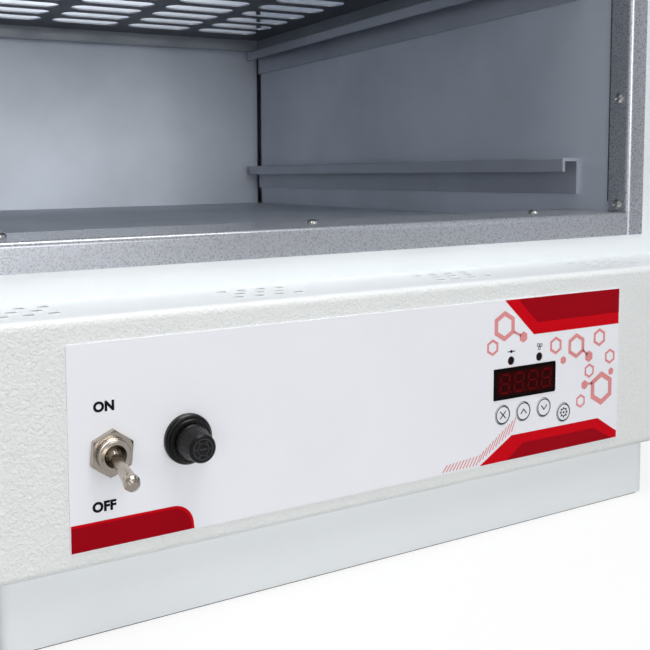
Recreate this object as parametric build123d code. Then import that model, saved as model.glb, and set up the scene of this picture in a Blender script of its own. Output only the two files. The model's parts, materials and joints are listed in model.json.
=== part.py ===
"""Forced-air drying oven for a laboratory bench, in millimetres, +Z up.

The origin is the centre of the plinth's footprint, on the surface that the oven stands on.
The front faces -Y and +X is to the right.  The door is modelled closed and then swung
about its hinge line to its resting angle.
"""

import os
from math import cos, radians, sin

from build123d import *

os.makedirs("parts", exist_ok=True)

# Cabinet
CABINET_W = 486.0
FACE_Y = -229.5
REAR_Y = 284.0
TOP_Z = 700.0
SKIN = 1.2
HALF_W = CABINET_W / 2

# Plinth and pads
PAD_H = 1.2
PLINTH_W = 328.0
PLINTH_D = 530.0
PLINTH_TOP = 28.0
PLINTH_SKIN = 2.0
PLINTH_RIM = 24.0

# Control box below the door
LEDGE_Z = 118.0
BOX_FRONT_Y = -270.0
BOX_BEND = 3.0

# Mouth frame of four angles
MOUTH_HALF_W = 192.5
MOUTH_LOW_Z = 142.0
MOUTH_HIGH_Z = 642.0
ANGLE_FACE = 11.5
ANGLE_PROUD = 1.0
ANGLE_SKIN = 1.0
ANGLE_BEND = 2.5
JAMB_DEPTH = 12.2
SILL_DEPTH = 48.0
APRON_TOP_Z = MOUTH_LOW_Z - ANGLE_SKIN

# Screws
SHANK_R = 1.6
SHANK = 4.0

# Chamber
CHAMBER_HALF_W = MOUTH_HALF_W + ANGLE_SKIN
FLOOR_Z = 136.0
CEILING_Z = 649.0
BACK_Y = 190.0
SIDE_REAR_Y = 182.0
CHAMBER_SKIN = 1.0
PLENUM_BACK_Y = 232.0

# Rails and shelves
RAIL_FIRST_Z = 173.0
RAIL_PITCH = 113.0
RAIL_LEVELS = 4
RAIL_W = 13.5
RAIL_SHORT_LEG = 8.0
RAIL_LONG_LEG = 21.3
RAIL_SKIN = 2.0
RAIL_FRONT_Y = -197.3
RAIL_REAR_Y = 184.0
SHELF_W = 380.0
SHELF_FRONT_Y = -204.0
SHELF_REAR_Y = 181.0
SHELF_LIP = 12.0
SHELF_SKIN = 1.2
SLOT_LENGTH = 58.0
SLOT_WIDTH = 17.5
SLOT_PITCH_X = 68.0
SLOT_PITCH_Y = 28.0
SLOT_COLUMNS = 5
SLOT_ROWS = 12

# Controls, with places given from the label's lower left corner
LABEL_LEFT_X = -139.7
LABEL_LOW_Z = 34.9
LABEL_W = 275.4
LABEL_H = 73.9
LABEL_T = 0.5
TOGGLE_AT = (15.4, 34.3)
FUSE_AT = (45.0, 34.8)
DISPLAY_AT = (213.9, 35.7)
DISPLAY_SIZE = (38.2, 14.4)
LED_AT = [(205.2, 45.9), (222.6, 45.9)]
LED_R = 2.0
KEY_AT = [(200.4, 21.7), (213.0, 21.7), (225.8, 21.8), (238.6, 17.7)]
KEY_R = 4.2
KEY_HOLE_R = 4.6
KEY_TRAVEL = 0.4
BUSH_R = 6.0
BUSH_BORE_R = 4.1
NUT_FLATS = 14.8
NUT_T = 2.5
NUT_TURN = -5.7
PIVOT_OUT = 1.5
LEVER_TILT = 11.5
FLUTES = 30

# Air vents in the ledge
VENT_R = 2.0
VENT_PITCH = 9.1
VENT_ROW = 7.7
VENT_CENTRES_X = (-153.5, -52.0, 49.5, 149.0)

# Door and its hinge line
DOOR_T = 38.0
DOOR_GAP = 2.5
DOOR_LOW_Z = 121.0
DOOR_HIGH_Z = 699.0
DOOR_REST_ANGLE = 105.0
HINGE_X = HALF_W + 8.0
HINGE_Y = -238.0
HINGE_Z = (175.0, 615.0)
HINGE_R = 5.0
PIN_R = 3.0
LEAF_T = 3.0
LEAF_HALF = 36.0

# Door latch and the slot that keeps it
LATCH_X = -HALF_W + 18.0
LATCH_Z = 400.0
SPINDLE_R = 4.5
LATCH_BUSH_R = 7.5
TONGUE_W = 9.0
TONGUE_H = 29.0
KEEPER_W = 12.0
KEEPER_H = 32.0

# Fan behind the chamber
FAN_Z = 400.0
FAN_R = 62.0
FAN_DEPTH = 24.0
SHAFT_R = 4.0
MOTOR_R = 42.0
MOTOR_POST_R = 3.5
MOTOR_BOX = 180.0
MOTOR_BOX_D = 62.0

# Mains inlet on the back
INLET_X = -191.0
INLET_Z = 87.0

# Exhaust on the roof
EXHAUST_X = 120.0
EXHAUST_Y = 60.0
EXHAUST_R = 20.0
EXHAUST_BORE_R = 18.0
EXHAUST_TOP_Z = 740.0
DAMPER_Z = 716.0


def block(low, high):
    """A box between its lowest and highest corners."""
    size = [b - a for a, b in zip(low, high)]
    centre = [(a + b) / 2 for a, b in zip(low, high)]
    return Pos(*centre) * Box(*size)


def rod(start, axis, radius, length):
    """A cylinder from its start point along an axis."""
    plane = Plane(origin=start, z_dir=axis)
    return extrude(plane * Circle(radius), length)


def ring(start, axis, outer, inner, length):
    """A tube from its start point along an axis."""
    return rod(start, axis, outer, length) - rod(start, axis, inner, length)


def turned(start, axis, profile):
    """A solid of revolution: profile holds (radius, distance along the axis) pairs."""
    points = [(0.0, profile[0][1])] + list(profile) + [(0.0, profile[-1][1])]
    plane = Plane(origin=start, z_dir=axis)
    outline = Plane(origin=(0, 0, 0), x_dir=(1, 0, 0), z_dir=(0, -1, 0)) * Polyline(*points, close=True)
    return plane * revolve(make_face(outline), Axis.Z)


def hexagon(start, axis, flats, length, turn=0.0):
    """A hexagonal prism, measured across its flats."""
    plane = Plane(origin=start, z_dir=axis)
    outline = RegularPolygon(flats / 2, 6, major_radius=False, rotation=turn)
    return extrude(plane * outline, length)


def on_label(place, depth=0.0):
    """A point of the label's face, depth millimetres in front of it."""
    return (LABEL_LEFT_X + place[0], BOX_FRONT_Y - LABEL_T - depth, LABEL_LOW_Z + place[1])


def pan_screw(start, axis, head_r=3.1, head_t=1.9):
    """A domed screw with a cross recess, whose head sits on start and points along axis."""
    dome = [(head_r, 0.0), (head_r * 0.93, head_t * 0.55), (head_r * 0.55, head_t)]
    head = turned(start, axis, dome)
    back = tuple(-a for a in axis)
    recess = Box(2.6, 0.7, 1.6) + Box(0.7, 2.6, 1.6)
    recess = Plane(origin=start, z_dir=axis) * (Pos(0, 0, head_t) * recess)
    return head + rod(start, back, SHANK_R, SHANK) - recess


def drilled(shape, places):
    """Clearance holes for the screws at (start, axis) places."""
    for start, axis in places:
        low = tuple(a - 2 * SHANK * b for a, b in zip(start, axis))
        shape -= rod(low, axis, SHANK_R + 0.1, 4 * SHANK)
    return shape


def save(name, shape):
    """Write one named node."""
    shape.label = name
    export_step(shape, f"parts/{name}.step")


def group(solids):
    """Separate solids that share one node."""
    return Compound(children=list(solids))


# Base


def plinth():
    half_w, half_d = PLINTH_W / 2, PLINTH_D / 2
    body = block((-half_w, -half_d, PAD_H), (half_w, half_d, PLINTH_TOP))
    body = fillet(body.edges().filter_by(Axis.Z), 4.0)
    inner_w, inner_d = half_w - PLINTH_SKIN, half_d - PLINTH_SKIN
    body -= block((-inner_w, -inner_d, PAD_H + PLINTH_SKIN), (inner_w, inner_d, PLINTH_TOP - PLINTH_SKIN))
    clear_w, clear_d = half_w - PLINTH_RIM, half_d - PLINTH_RIM
    return body - block((-clear_w, -clear_d, 0), (clear_w, clear_d, PLINTH_TOP + 1))


def foot_strip():
    """Rubber strip under the plinth's lower flange, which the oven stands on."""
    half_w, half_d = PLINTH_W / 2 - 1.5, PLINTH_D / 2 - 1.5
    strip = block((-half_w, -half_d, 0), (half_w, half_d, PAD_H))
    strip = fillet(strip.edges().filter_by(Axis.Z), 3.0)
    clear_w, clear_d = half_w - PLINTH_RIM + 6, half_d - PLINTH_RIM + 6
    return strip - block((-clear_w, -clear_d, -1), (clear_w, clear_d, PAD_H + 1))


def base_pan():
    """Bottom tray, with a tall front apron that backs the control box and shows above its ledge."""
    half, lip = HALF_W - SKIN, 17.0
    low = (-half, FACE_Y + SKIN, PLINTH_TOP)
    pan = block(low, (half, REAR_Y - SKIN, PLINTH_TOP + lip))
    inside_low = (SKIN - half, FACE_Y + 2 * SKIN, PLINTH_TOP + SKIN)
    pan -= block(inside_low, (half - SKIN, REAR_Y - 2 * SKIN, PLINTH_TOP + lip + 1))
    apron = block((-HALF_W, FACE_Y, PLINTH_TOP), (HALF_W, FACE_Y + SKIN, APRON_TOP_Z))
    harness = rod((HALF_W - 60, FACE_Y - 5, 80), (0, 1, 0), 14, 12)
    return pan + apron - harness


# Outer skins


def outer_side(side):
    """Side sheet with a front return beside the mouth and a rear return."""
    x_out, x_in = side * HALF_W, side * (HALF_W - SKIN)
    wall = block((min(x_out, x_in), FACE_Y, PLINTH_TOP), (max(x_out, x_in), REAR_Y, TOP_Z - SKIN))
    edge = side * (MOUTH_HALF_W + ANGLE_SKIN)
    front = block((min(edge, x_in), FACE_Y, APRON_TOP_Z), (max(edge, x_in), FACE_Y + SKIN, TOP_Z - SKIN))
    rear_edge = side * (HALF_W - 20)
    rear = block((min(rear_edge, x_in), REAR_Y - SKIN, PLINTH_TOP + 30),
                 (max(rear_edge, x_in), REAR_Y, TOP_Z - SKIN))
    corner = side * HALF_W
    sheet = wall + front + rear
    upright = [e for e in sheet.edges().filter_by(Axis.Z)
               if abs(e.center().X - corner) < 0.01 and e.center().Y < 0 and e.length > 500]
    sheet = fillet(upright, 1.0)
    sheet -= block((-HALF_W - 1, FACE_Y - 1, PLINTH_TOP - 1), (HALF_W + 1, FACE_Y + SKIN, APRON_TOP_Z))
    if side < 0:
        low = (LATCH_X - KEEPER_W / 2, FACE_Y - 1, LATCH_Z - KEEPER_H / 2)
        sheet -= block(low, (LATCH_X + KEEPER_W / 2, FACE_Y + 2 * SKIN, LATCH_Z + KEEPER_H / 2))
    return drilled(sheet, rear_screw_places())


def outer_top():
    """Roof sheet with a front return above the mouth and the exhaust hole."""
    roof = block((-HALF_W, FACE_Y, TOP_Z - SKIN), (HALF_W, REAR_Y, TOP_Z))
    edge = MOUTH_HALF_W + ANGLE_SKIN
    front = block((-edge, FACE_Y, MOUTH_HIGH_Z + ANGLE_SKIN), (edge, FACE_Y + SKIN, TOP_Z - SKIN))
    rear = block((-HALF_W + 21, REAR_Y - SKIN, TOP_Z - 20), (HALF_W - 21, REAR_Y, TOP_Z - SKIN))
    return roof + front + rear - rod((EXHAUST_X, EXHAUST_Y, TOP_Z - 5), (0, 0, 1), EXHAUST_R, 10)


def rear_cover():
    """Back sheet with a raised fan-motor box, louvred on its face."""
    half = HALF_W - 3
    sheet = block((-half, REAR_Y, PLINTH_TOP + 4), (half, REAR_Y + SKIN, TOP_Z - 3))
    box_half, box_y = MOTOR_BOX / 2, REAR_Y + MOTOR_BOX_D
    bulge = block((-box_half, REAR_Y, FAN_Z - box_half), (box_half, box_y, FAN_Z + box_half))
    outer_edges = bulge.edges().filter_by(Axis.Y) + bulge.edges().group_by(Axis.Y)[-1]
    bulge = fillet(outer_edges, 6.0)
    hollow = box_half - SKIN
    inside = block((-hollow, REAR_Y - 2 * SKIN, FAN_Z - hollow), (hollow, box_y - SKIN, FAN_Z + hollow))
    inner_edges = inside.edges().filter_by(Axis.Y) + inside.edges().group_by(Axis.Y)[-1]
    inside = fillet(inner_edges, 5.0)
    cover = sheet + bulge - inside
    slots = [
        Pos(x, box_y, FAN_Z + row * 18.0) * Box(50, 4 * SKIN, 6)
        for row in range(-3, 4)
        for x in (-36, 36)
    ]
    inlet = block((INLET_X - 14, REAR_Y - 3, INLET_Z - 11), (INLET_X + 14, REAR_Y + 3, INLET_Z + 11))
    return drilled(cover - slots - inlet, rear_screw_places())


def rear_screw_places():
    reach, y = HALF_W - 11, REAR_Y + SKIN
    heights = (PLINTH_TOP + 50, 220, FAN_Z, 580, TOP_Z - 30)
    return [((side * reach, y, z), (0, 1, 0)) for side in (-1, 1) for z in heights]


def control_box():
    """Folded box below the door, open at the back, with clusters of air holes in its ledge."""
    outer = block((-HALF_W, BOX_FRONT_Y, PLINTH_TOP), (HALF_W, FACE_Y, LEDGE_Z))
    front_edges = outer.edges().filter_by(Axis.X).group_by(Axis.Y)[0]
    outer = fillet(front_edges, BOX_BEND)
    inner = block((SKIN - HALF_W, BOX_FRONT_Y + SKIN, PLINTH_TOP + SKIN),
                  (HALF_W - SKIN, FACE_Y + 9, LEDGE_Z - SKIN))
    shell = outer - inner
    x, y, z = on_label(TOGGLE_AT, 5)
    shell -= rod((x, y, z), (0, 1, 0), BUSH_R + 0.1, 12)
    x, y, z = on_label(FUSE_AT, 5)
    shell -= rod((x, y, z), (0, 1, 0), 6.3, 12)
    low, high = on_label((190.0, 11.0)), on_label((248.0, 50.0))
    shell -= block((low[0], BOX_FRONT_Y - 1, low[2]), (high[0], BOX_FRONT_Y + 3, high[2]))
    vents = []
    for centre in VENT_CENTRES_X:
        for row, count in ((-1, 4), (0, 3), (1, 4)):
            for k in range(count):
                across = centre + (k - (count - 1) / 2) * VENT_PITCH
                along = (BOX_FRONT_Y + FACE_Y) / 2 + row * VENT_ROW
                vents.append(rod((across, along, LEDGE_Z - 3), (0, 0, 1), VENT_R, 6))
    return shell - vents


def label_panel():
    """Printed overlay on the control box, with holes for what comes through it."""
    sheet = block((LABEL_LEFT_X, BOX_FRONT_Y - LABEL_T, LABEL_LOW_Z),
                  (LABEL_LEFT_X + LABEL_W, BOX_FRONT_Y, LABEL_LOW_Z + LABEL_H))
    holes = [(TOGGLE_AT, BUSH_R + 0.1), (FUSE_AT, 6.3)]
    holes += [(place, LED_R) for place in LED_AT] + [(place, KEY_HOLE_R) for place in KEY_AT]
    for place, radius in holes:
        sheet -= rod(on_label(place, 1), (0, 1, 0), radius, 3)
    x, y, z = on_label(DISPLAY_AT)
    return sheet - Pos(x, y, z) * Box(DISPLAY_SIZE[0], 4, DISPLAY_SIZE[1])


# Mouth frame


def angle_profile(depth):
    """Cross-section of a frame angle: X runs into the oven and Y away from the mouth."""
    outer = Rectangle(depth, ANGLE_SKIN, align=(Align.MIN, Align.MIN))
    face = Rectangle(ANGLE_SKIN, ANGLE_FACE + ANGLE_SKIN, align=(Align.MIN, Align.MIN))
    section = outer + face
    corner = section.vertices().sort_by_distance((0, 0))[0]
    return fillet(corner, ANGLE_BEND)


def mouth_angle(start, along, outward, depth, length):
    """An angle extruded along the mouth's edge: outward points away from the opening."""
    plane = Plane(origin=start, x_dir=(0, 1, 0), z_dir=along)
    if (plane.y_dir - Vector(*outward)).length > 0.1:
        plane = Plane(origin=tuple(a + length * b for a, b in zip(start, along)),
                      x_dir=(0, 1, 0), z_dir=tuple(-b for b in along))
    return extrude(plane * angle_profile(depth), length)


def sill_angle(high=False):
    z = MOUTH_HIGH_Z if high else MOUTH_LOW_Z
    outward = (0, 0, 1) if high else (0, 0, -1)
    seam = 0.3
    start = (-MOUTH_HALF_W + seam, FACE_Y - ANGLE_PROUD, z)
    bar = mouth_angle(start, (1, 0, 0), outward, SILL_DEPTH, 2 * (MOUTH_HALF_W - seam))
    return drilled(bar, frame_screw_places())


def jamb_angle(side):
    low = MOUTH_LOW_Z - ANGLE_FACE - ANGLE_SKIN
    high = MOUTH_HIGH_Z + ANGLE_FACE + ANGLE_SKIN
    start = (side * MOUTH_HALF_W, FACE_Y - ANGLE_PROUD, low)
    bar = mouth_angle(start, (0, 0, 1), (side, 0, 0), JAMB_DEPTH, high - low)
    x0, x1 = sorted((side * (MOUTH_HALF_W - 1), side * CHAMBER_HALF_W))
    for z0, z1 in ((low - 1, MOUTH_LOW_Z), (MOUTH_HIGH_Z, high + 1)):
        bar -= block((x0, FACE_Y - ANGLE_PROUD - 1, z0), (x1, FACE_Y + 20, z1))
    return drilled(bar, frame_screw_places())


def frame_screw_places():
    """Start and axis of each screw in the mouth frame."""
    places = []
    sill_y, jamb_y = FACE_Y + 24.0, FACE_Y + 5.6
    for x in (-148.0, 2.0, 148.0):
        places.append(((x, sill_y, MOUTH_LOW_Z), (0, 0, 1)))
        places.append(((x, sill_y, MOUTH_HIGH_Z), (0, 0, -1)))
    height = MOUTH_HIGH_Z - MOUTH_LOW_Z
    for side in (-1, 1):
        for up in (4.0, 63.0, height / 2, height - 63.0, height - 4.0):
            places.append(((side * MOUTH_HALF_W, jamb_y, MOUTH_LOW_Z + up), (-side, 0, 0)))
    return places


def cabinet_screws():
    places = frame_screw_places() + rear_screw_places()
    return group(pan_screw(start, axis) for start, axis in places)


# Chamber


def chamber_floor(high=False):
    """Floor or ceiling sheet, with its front edge folded up to the sill's angle."""
    z = CEILING_Z if high else FLOOR_Z
    up = 1 if high else -1
    lip_z = (MOUTH_HIGH_Z if high else MOUTH_LOW_Z) + up * ANGLE_SKIN
    half, front = CHAMBER_HALF_W - 0.5, FACE_Y + SKIN + 0.3
    rear = PLENUM_BACK_Y
    fold_y = FACE_Y + SILL_DEPTH + 2
    flat = block((-half, fold_y, min(z, z + up * CHAMBER_SKIN)), (half, rear, max(z, z + up * CHAMBER_SKIN)))
    lip = block((-half, front, min(lip_z, lip_z + up * CHAMBER_SKIN)),
                (half, fold_y, max(lip_z, lip_z + up * CHAMBER_SKIN)))
    ends = sorted((z + up * CHAMBER_SKIN, lip_z))
    riser = block((-half, fold_y - CHAMBER_SKIN, ends[0]), (half, fold_y, ends[1]))
    sheet = drilled(flat + lip + riser, frame_screw_places())
    if high:
        sheet -= rod((EXHAUST_X, EXHAUST_Y, CEILING_Z - 5), (0, 0, 1), EXHAUST_R, 12)
    return sheet


def chamber_side(side):
    """Side sheet, which stops short of the back wall so that air enters behind it."""
    x_in, x_out = side * CHAMBER_HALF_W, side * (CHAMBER_HALF_W + CHAMBER_SKIN)
    low, high = FLOOR_Z, CEILING_Z
    sheet = block((min(x_in, x_out), FACE_Y + SKIN + 0.3, low), (max(x_in, x_out), SIDE_REAR_Y, high))
    x_fold = side * (CHAMBER_HALF_W + 12)
    fold = block((min(x_in, x_fold), SIDE_REAR_Y - CHAMBER_SKIN, low),
                 (max(x_in, x_fold), SIDE_REAR_Y, high))
    return drilled(sheet + fold, frame_screw_places())


def duct_walls():
    """Outer walls of the side air ducts, against the insulation."""
    reach, low, high = CHAMBER_HALF_W + 14, FLOOR_Z, CEILING_Z
    wall = block((reach, FACE_Y + 3, low), (reach + CHAMBER_SKIN, PLENUM_BACK_Y, high))
    return group([wall, mirror(wall, Plane.YZ)])


def chamber_back():
    """Baffle in front of the fan, with the air intake in its middle."""
    half = CHAMBER_HALF_W - 0.5
    sheet = block((-half, BACK_Y, FLOOR_Z), (half, BACK_Y + CHAMBER_SKIN, CEILING_Z))
    return sheet - rod((0, BACK_Y - 5, FAN_Z), (0, 1, 0), FAN_R - 8, 12)


def plenum_back():
    """Rear wall of the fan space, with the shaft's hole."""
    half = CHAMBER_HALF_W + 14 + CHAMBER_SKIN
    sheet = block((-half, PLENUM_BACK_Y, FLOOR_Z - CHAMBER_SKIN),
                  (half, PLENUM_BACK_Y + CHAMBER_SKIN, CEILING_Z + CHAMBER_SKIN))
    return sheet - rod((0, PLENUM_BACK_Y - 5, FAN_Z), (0, 1, 0), SHAFT_R + 1.5, 12)


def rail(side, level):
    """Folded shelf rail: a long leg on the wall, a flat top and a short leg down."""
    top = RAIL_FIRST_Z + level * RAIL_PITCH
    length = RAIL_REAR_Y - RAIL_FRONT_Y
    outer = [(0, 0), (RAIL_W, 0), (RAIL_W, -RAIL_SHORT_LEG), (RAIL_W - RAIL_SKIN, -RAIL_SHORT_LEG),
             (RAIL_W - RAIL_SKIN, -RAIL_SKIN), (RAIL_SKIN, -RAIL_SKIN), (RAIL_SKIN, -RAIL_LONG_LEG),
             (0, -RAIL_LONG_LEG)]
    outline = [(side * (CHAMBER_HALF_W - across), top + up) for across, up in outer]
    plane = Plane(origin=(0, RAIL_FRONT_Y, 0), x_dir=(1, 0, 0), z_dir=(0, -1, 0))
    section = plane * make_face(Polyline(*outline, close=True))
    solid = extrude(section, -length)
    bends = [e for e in solid.edges().filter_by(Axis.Y)
             if abs(e.center().Z - top) < 0.01]
    return fillet(bends, 1.2)


def rails(side):
    return group(rail(side, level) for level in range(RAIL_LEVELS))


def shelf(level):
    """Pressed tray, lips down, with rows of slots."""
    low = RAIL_FIRST_Z + level * RAIL_PITCH + 0.1
    high = low + SHELF_LIP
    half = SHELF_W / 2
    tray = block((-half, SHELF_FRONT_Y, low), (half, SHELF_REAR_Y, high))
    tray = fillet(tray.edges().group_by(Axis.Z)[-1], 2.5)
    tray -= block((SHELF_SKIN - half, SHELF_FRONT_Y + SHELF_SKIN, low - 1),
                  (half - SHELF_SKIN, SHELF_REAR_Y - SHELF_SKIN, high - SHELF_SKIN))
    middle = (SHELF_FRONT_Y + SHELF_REAR_Y) / 2
    places = GridLocations(SLOT_PITCH_X, SLOT_PITCH_Y, SLOT_COLUMNS, SLOT_ROWS)
    slot = SlotOverall(SLOT_LENGTH, SLOT_WIDTH)
    slots = Plane(origin=(0, middle, high - 5)) * Sketch(children=[place * slot for place in places])
    return tray - extrude(slots, 8)


def insulation():
    """Mineral-wool slabs between the chamber and the skins."""
    duct = CHAMBER_HALF_W + 14 + CHAMBER_SKIN
    half, front = HALF_W - SKIN, FACE_Y + SKIN
    roof, floor = CEILING_Z + CHAMBER_SKIN, FLOOR_Z - CHAMBER_SKIN
    gap = 0.5
    slabs = []
    for side in (-1, 1):
        xs = sorted((side * (duct + gap), side * (half - gap)))
        slab = block((xs[0], front + gap, 50), (xs[1], REAR_Y - 5, TOP_Z - SKIN - gap))
        if side < 0:
            slab -= rod((LATCH_X, FACE_Y - 1, LATCH_Z), (0, 1, 0), KEEPER_H / 2 + 0.4, 14)
        slabs.append(slab)
    top = block((-duct, front + gap, MOUTH_HIGH_Z + ANGLE_SKIN + ANGLE_FACE + 2),
                (duct, REAR_Y - SKIN - gap, TOP_Z - SKIN - gap))
    slabs.append(top - rod((EXHAUST_X, EXHAUST_Y, 600), (0, 0, 1), EXHAUST_R + gap, 120))
    bottom = block((-duct, front + 14, 50), (duct, REAR_Y - SKIN - gap, floor - gap))
    slabs.append(bottom - block((INLET_X - 16, REAR_Y - 26, INLET_Z - 13), (INLET_X + 16, REAR_Y, INLET_Z + 13)))
    rear = block((-duct, PLENUM_BACK_Y + CHAMBER_SKIN + gap, floor),
                 (duct, REAR_Y - 2 * SKIN - gap, MOUTH_HIGH_Z + ANGLE_SKIN + ANGLE_FACE + 1.5))
    rear -= rod((0, 200, FAN_Z), (0, 1, 0), SHAFT_R + 4, 120)
    for x, z in motor_post_places():
        rear -= rod((x, 200, FAN_Z + z), (0, 1, 0), MOTOR_POST_R + gap, 120)
    slabs.append(rear)
    return group(slabs)


# Air circulation


def heater_element():
    """Sheathed ring heater round the fan, held by two bosses on the rear wall."""
    ring_r, y = FAN_R + 20, PLENUM_BACK_Y - 18
    gap = radians(14)
    start = (ring_r * sin(gap), y, FAN_Z - ring_r * cos(gap))
    end = (-start[0], y, start[2])
    turn = ThreePointArc(start, (0, y, FAN_Z + ring_r), end)
    tube = sweep(Plane(origin=start, z_dir=turn % 0) * Circle(3.2), path=turn)
    bosses = [rod((x, y - 5, start[2]), (0, 1, 0), 4.6, PLENUM_BACK_Y - y + 5) for x in (start[0], end[0])]
    return tube + bosses


def motor_post_places():
    reach = (MOTOR_R + 4) * cos(radians(45))
    return [(x, z) for x in (-reach, reach) for z in (-reach, reach)]


def fan_motor():
    """Grooved motor case whose flange stands on four posts off the plenum wall."""
    start = REAR_Y + 2.0
    profile = [(MOTOR_R + 8, 0), (MOTOR_R + 8, 3), (MOTOR_R, 3), (MOTOR_R, 38), (MOTOR_R - 5, 44), (14, 44), (14, 50)]
    body = turned((0, start, FAN_Z), (0, 1, 0), profile)
    body -= rod((0, start - 1, FAN_Z), (0, 1, 0), SHAFT_R + 0.3, 30)
    body -= [ring((0, start + y, FAN_Z), (0, 1, 0), MOTOR_R + 1, MOTOR_R - 2.5, 3) for y in (9, 17, 25)]
    wall = PLENUM_BACK_Y + CHAMBER_SKIN
    for x, z in motor_post_places():
        body += rod((x, wall, FAN_Z + z), (0, 1, 0), MOTOR_POST_R, start + 1 - wall)
    return body


def fan_shaft():
    start = PLENUM_BACK_Y - FAN_DEPTH - 10
    return rod((0, start, FAN_Z), (0, 1, 0), SHAFT_R, REAR_Y + 30 - start)


def fan_impeller():
    """Centrifugal wheel with backward-curved blades between a disc and a rim."""
    back = PLENUM_BACK_Y - 7.0
    front = back - FAN_DEPTH
    disc = ring((0, back - 1.5, FAN_Z), (0, 1, 0), FAN_R, SHAFT_R, 1.5)
    hub = ring((0, back - 12, FAN_Z), (0, 1, 0), 11, SHAFT_R, 12)
    rim = ring((0, front, FAN_Z), (0, 1, 0), FAN_R, FAN_R - 12, 1.2)
    blades = []
    for k in range(9):
        turn = 40.0 * k
        inner = Vector(24, 0).rotate(Axis.Z, turn)
        middle = Vector(46, 0).rotate(Axis.Z, turn + 14)
        outer = Vector(FAN_R - 1, 0).rotate(Axis.Z, turn + 42)
        path = ThreePointArc(inner, middle, outer)
        strip = trace(path, 1.2)
        plane = Plane(origin=(0, front, FAN_Z), x_dir=(1, 0, 0), z_dir=(0, 1, 0))
        blades.append(extrude(plane * strip, FAN_DEPTH - 0.5))
    wheel = disc + hub + rim
    for blade in blades:
        wheel += blade
    return wheel


def fan_guard():
    """Pressed intake grille on the baffle, cut with arcs of slots."""
    plate_r = FAN_R + 10
    dish = [(plate_r, 0), (plate_r, 1.2), (plate_r - 12, 1.2), (plate_r - 18, 7), (10, 8.5)]
    inner = [(plate_r - 13, -0.1), (plate_r - 19.2, 5.8), (10, 7.2)]
    start = (0, BACK_Y, FAN_Z)
    guard = turned(start, (0, -1, 0), dish) - turned(start, (0, -1, 0), inner)
    cuts = []
    for radius, count in ((24, 7), (43, 13)):
        for k in range(count):
            angle = 360.0 * k / count
            place = Plane(origin=(0, BACK_Y + 2, FAN_Z), x_dir=(1, 0, 0), z_dir=(0, -1, 0))
            slot = Rot(0, 0, angle) * Pos(radius, 0) * SlotOverall(14, 5, rotation=90)
            cuts.append(extrude(place * slot, 14))
    return guard - cuts


def temperature_probe():
    start = (-70.0, BACK_Y, 565.0)
    return turned(start, (0, -1, 0), [(5.5, 0), (5.5, 4), (2.5, 4), (2.5, 62), (1.2, 64)])


# Exhaust


def exhaust_tube():
    low = CEILING_Z - 2
    tube = ring((EXHAUST_X, EXHAUST_Y, low), (0, 0, 1), EXHAUST_R, EXHAUST_BORE_R, EXHAUST_TOP_Z - low)
    collar = ring((EXHAUST_X, EXHAUST_Y, TOP_Z), (0, 0, 1), EXHAUST_R + 14, EXHAUST_R, 1.5)
    bushing = ring((EXHAUST_X, EXHAUST_Y - EXHAUST_R + 1, DAMPER_Z), (0, -1, 0), 5, 2.0, 8)
    hole = rod((EXHAUST_X, EXHAUST_Y + 25, DAMPER_Z), (0, -1, 0), 2.3, 60)
    return tube + collar + bushing - hole


def exhaust_damper():
    """Butterfly disc on a spindle that carries the knob outside the tube."""
    z = DAMPER_Z
    disc = rod((EXHAUST_X, EXHAUST_Y, z - 0.6), (0, 0, 1), EXHAUST_BORE_R - 1.2, 1.2)
    spindle = rod((EXHAUST_X, EXHAUST_Y + EXHAUST_R + 2, z), (0, -1, 0), 2.0, 2 * EXHAUST_R + 20)
    knob_start = (EXHAUST_X, EXHAUST_Y - EXHAUST_R - 8.5, z)
    knob = turned(knob_start, (0, -1, 0), [(7.5, 0), (7.5, 9), (6.5, 11)])
    wing = block((EXHAUST_X - 1.6, knob_start[1] - 19, z - 9), (EXHAUST_X + 1.6, knob_start[1] - 3, z + 9))
    return disc + spindle + knob + fillet(wing.edges().filter_by(Axis.X), 2.0)


# Switch and fuse holder


def toggle_body():
    """Switch case behind the panel with its bushing and three solder lugs."""
    x, y, z = on_label(TOGGLE_AT)
    case_y = BOX_FRONT_Y + SKIN
    case = block((x - 6.5, case_y, z - 14), (x + 6.5, case_y + 17, z + 14))
    case = fillet(case.edges().filter_by(Axis.Y), 1.5)
    front = case_y + 1 - y
    bush = turned((x, case_y + 1, z), (0, -1, 0), [(BUSH_R, 0), (BUSH_R, front + 4.7), (5.3, front + 5.4)])
    bore = rod((x, y - 12, z), (0, 1, 0), BUSH_BORE_R, 20)
    lugs = [block((x - 2, case_y + 16, z + dz - 0.4), (x + 2, case_y + 24, z + dz + 0.4)) for dz in (-9, 0, 9)]
    return case + bush - bore + lugs


def toggle_nut():
    x, y, z = on_label(TOGGLE_AT)
    nut = hexagon((x, y, z), (0, -1, 0), NUT_FLATS, NUT_T, turn=NUT_TURN)
    cone = turned((x, y, z), (0, -1, 0), [(9.9, 0), (9.9, NUT_T - 1.0), (7.7, NUT_T)])
    return (nut & cone) - rod((x, y + 1, z), (0, -1, 0), BUSH_R + 0.05, 6)


def toggle_lever():
    """Ball-ended lever, resting in its lower position."""
    x, y, z = on_label(TOGGLE_AT)
    tilt = radians(LEVER_TILT)
    axis = (0, -cos(tilt), -sin(tilt))
    pivot_y = y - PIVOT_OUT
    profile = [(2.6, -2.0), (3.3, 0.0), (2.9, 2.0), (1.75, 3.6), (2.55, 17.6), (2.9, 18.9), (2.9, 20.2),
               (2.5, 21.3), (1.5, 22.0)]
    return turned((x, pivot_y, z), axis, profile)


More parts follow.
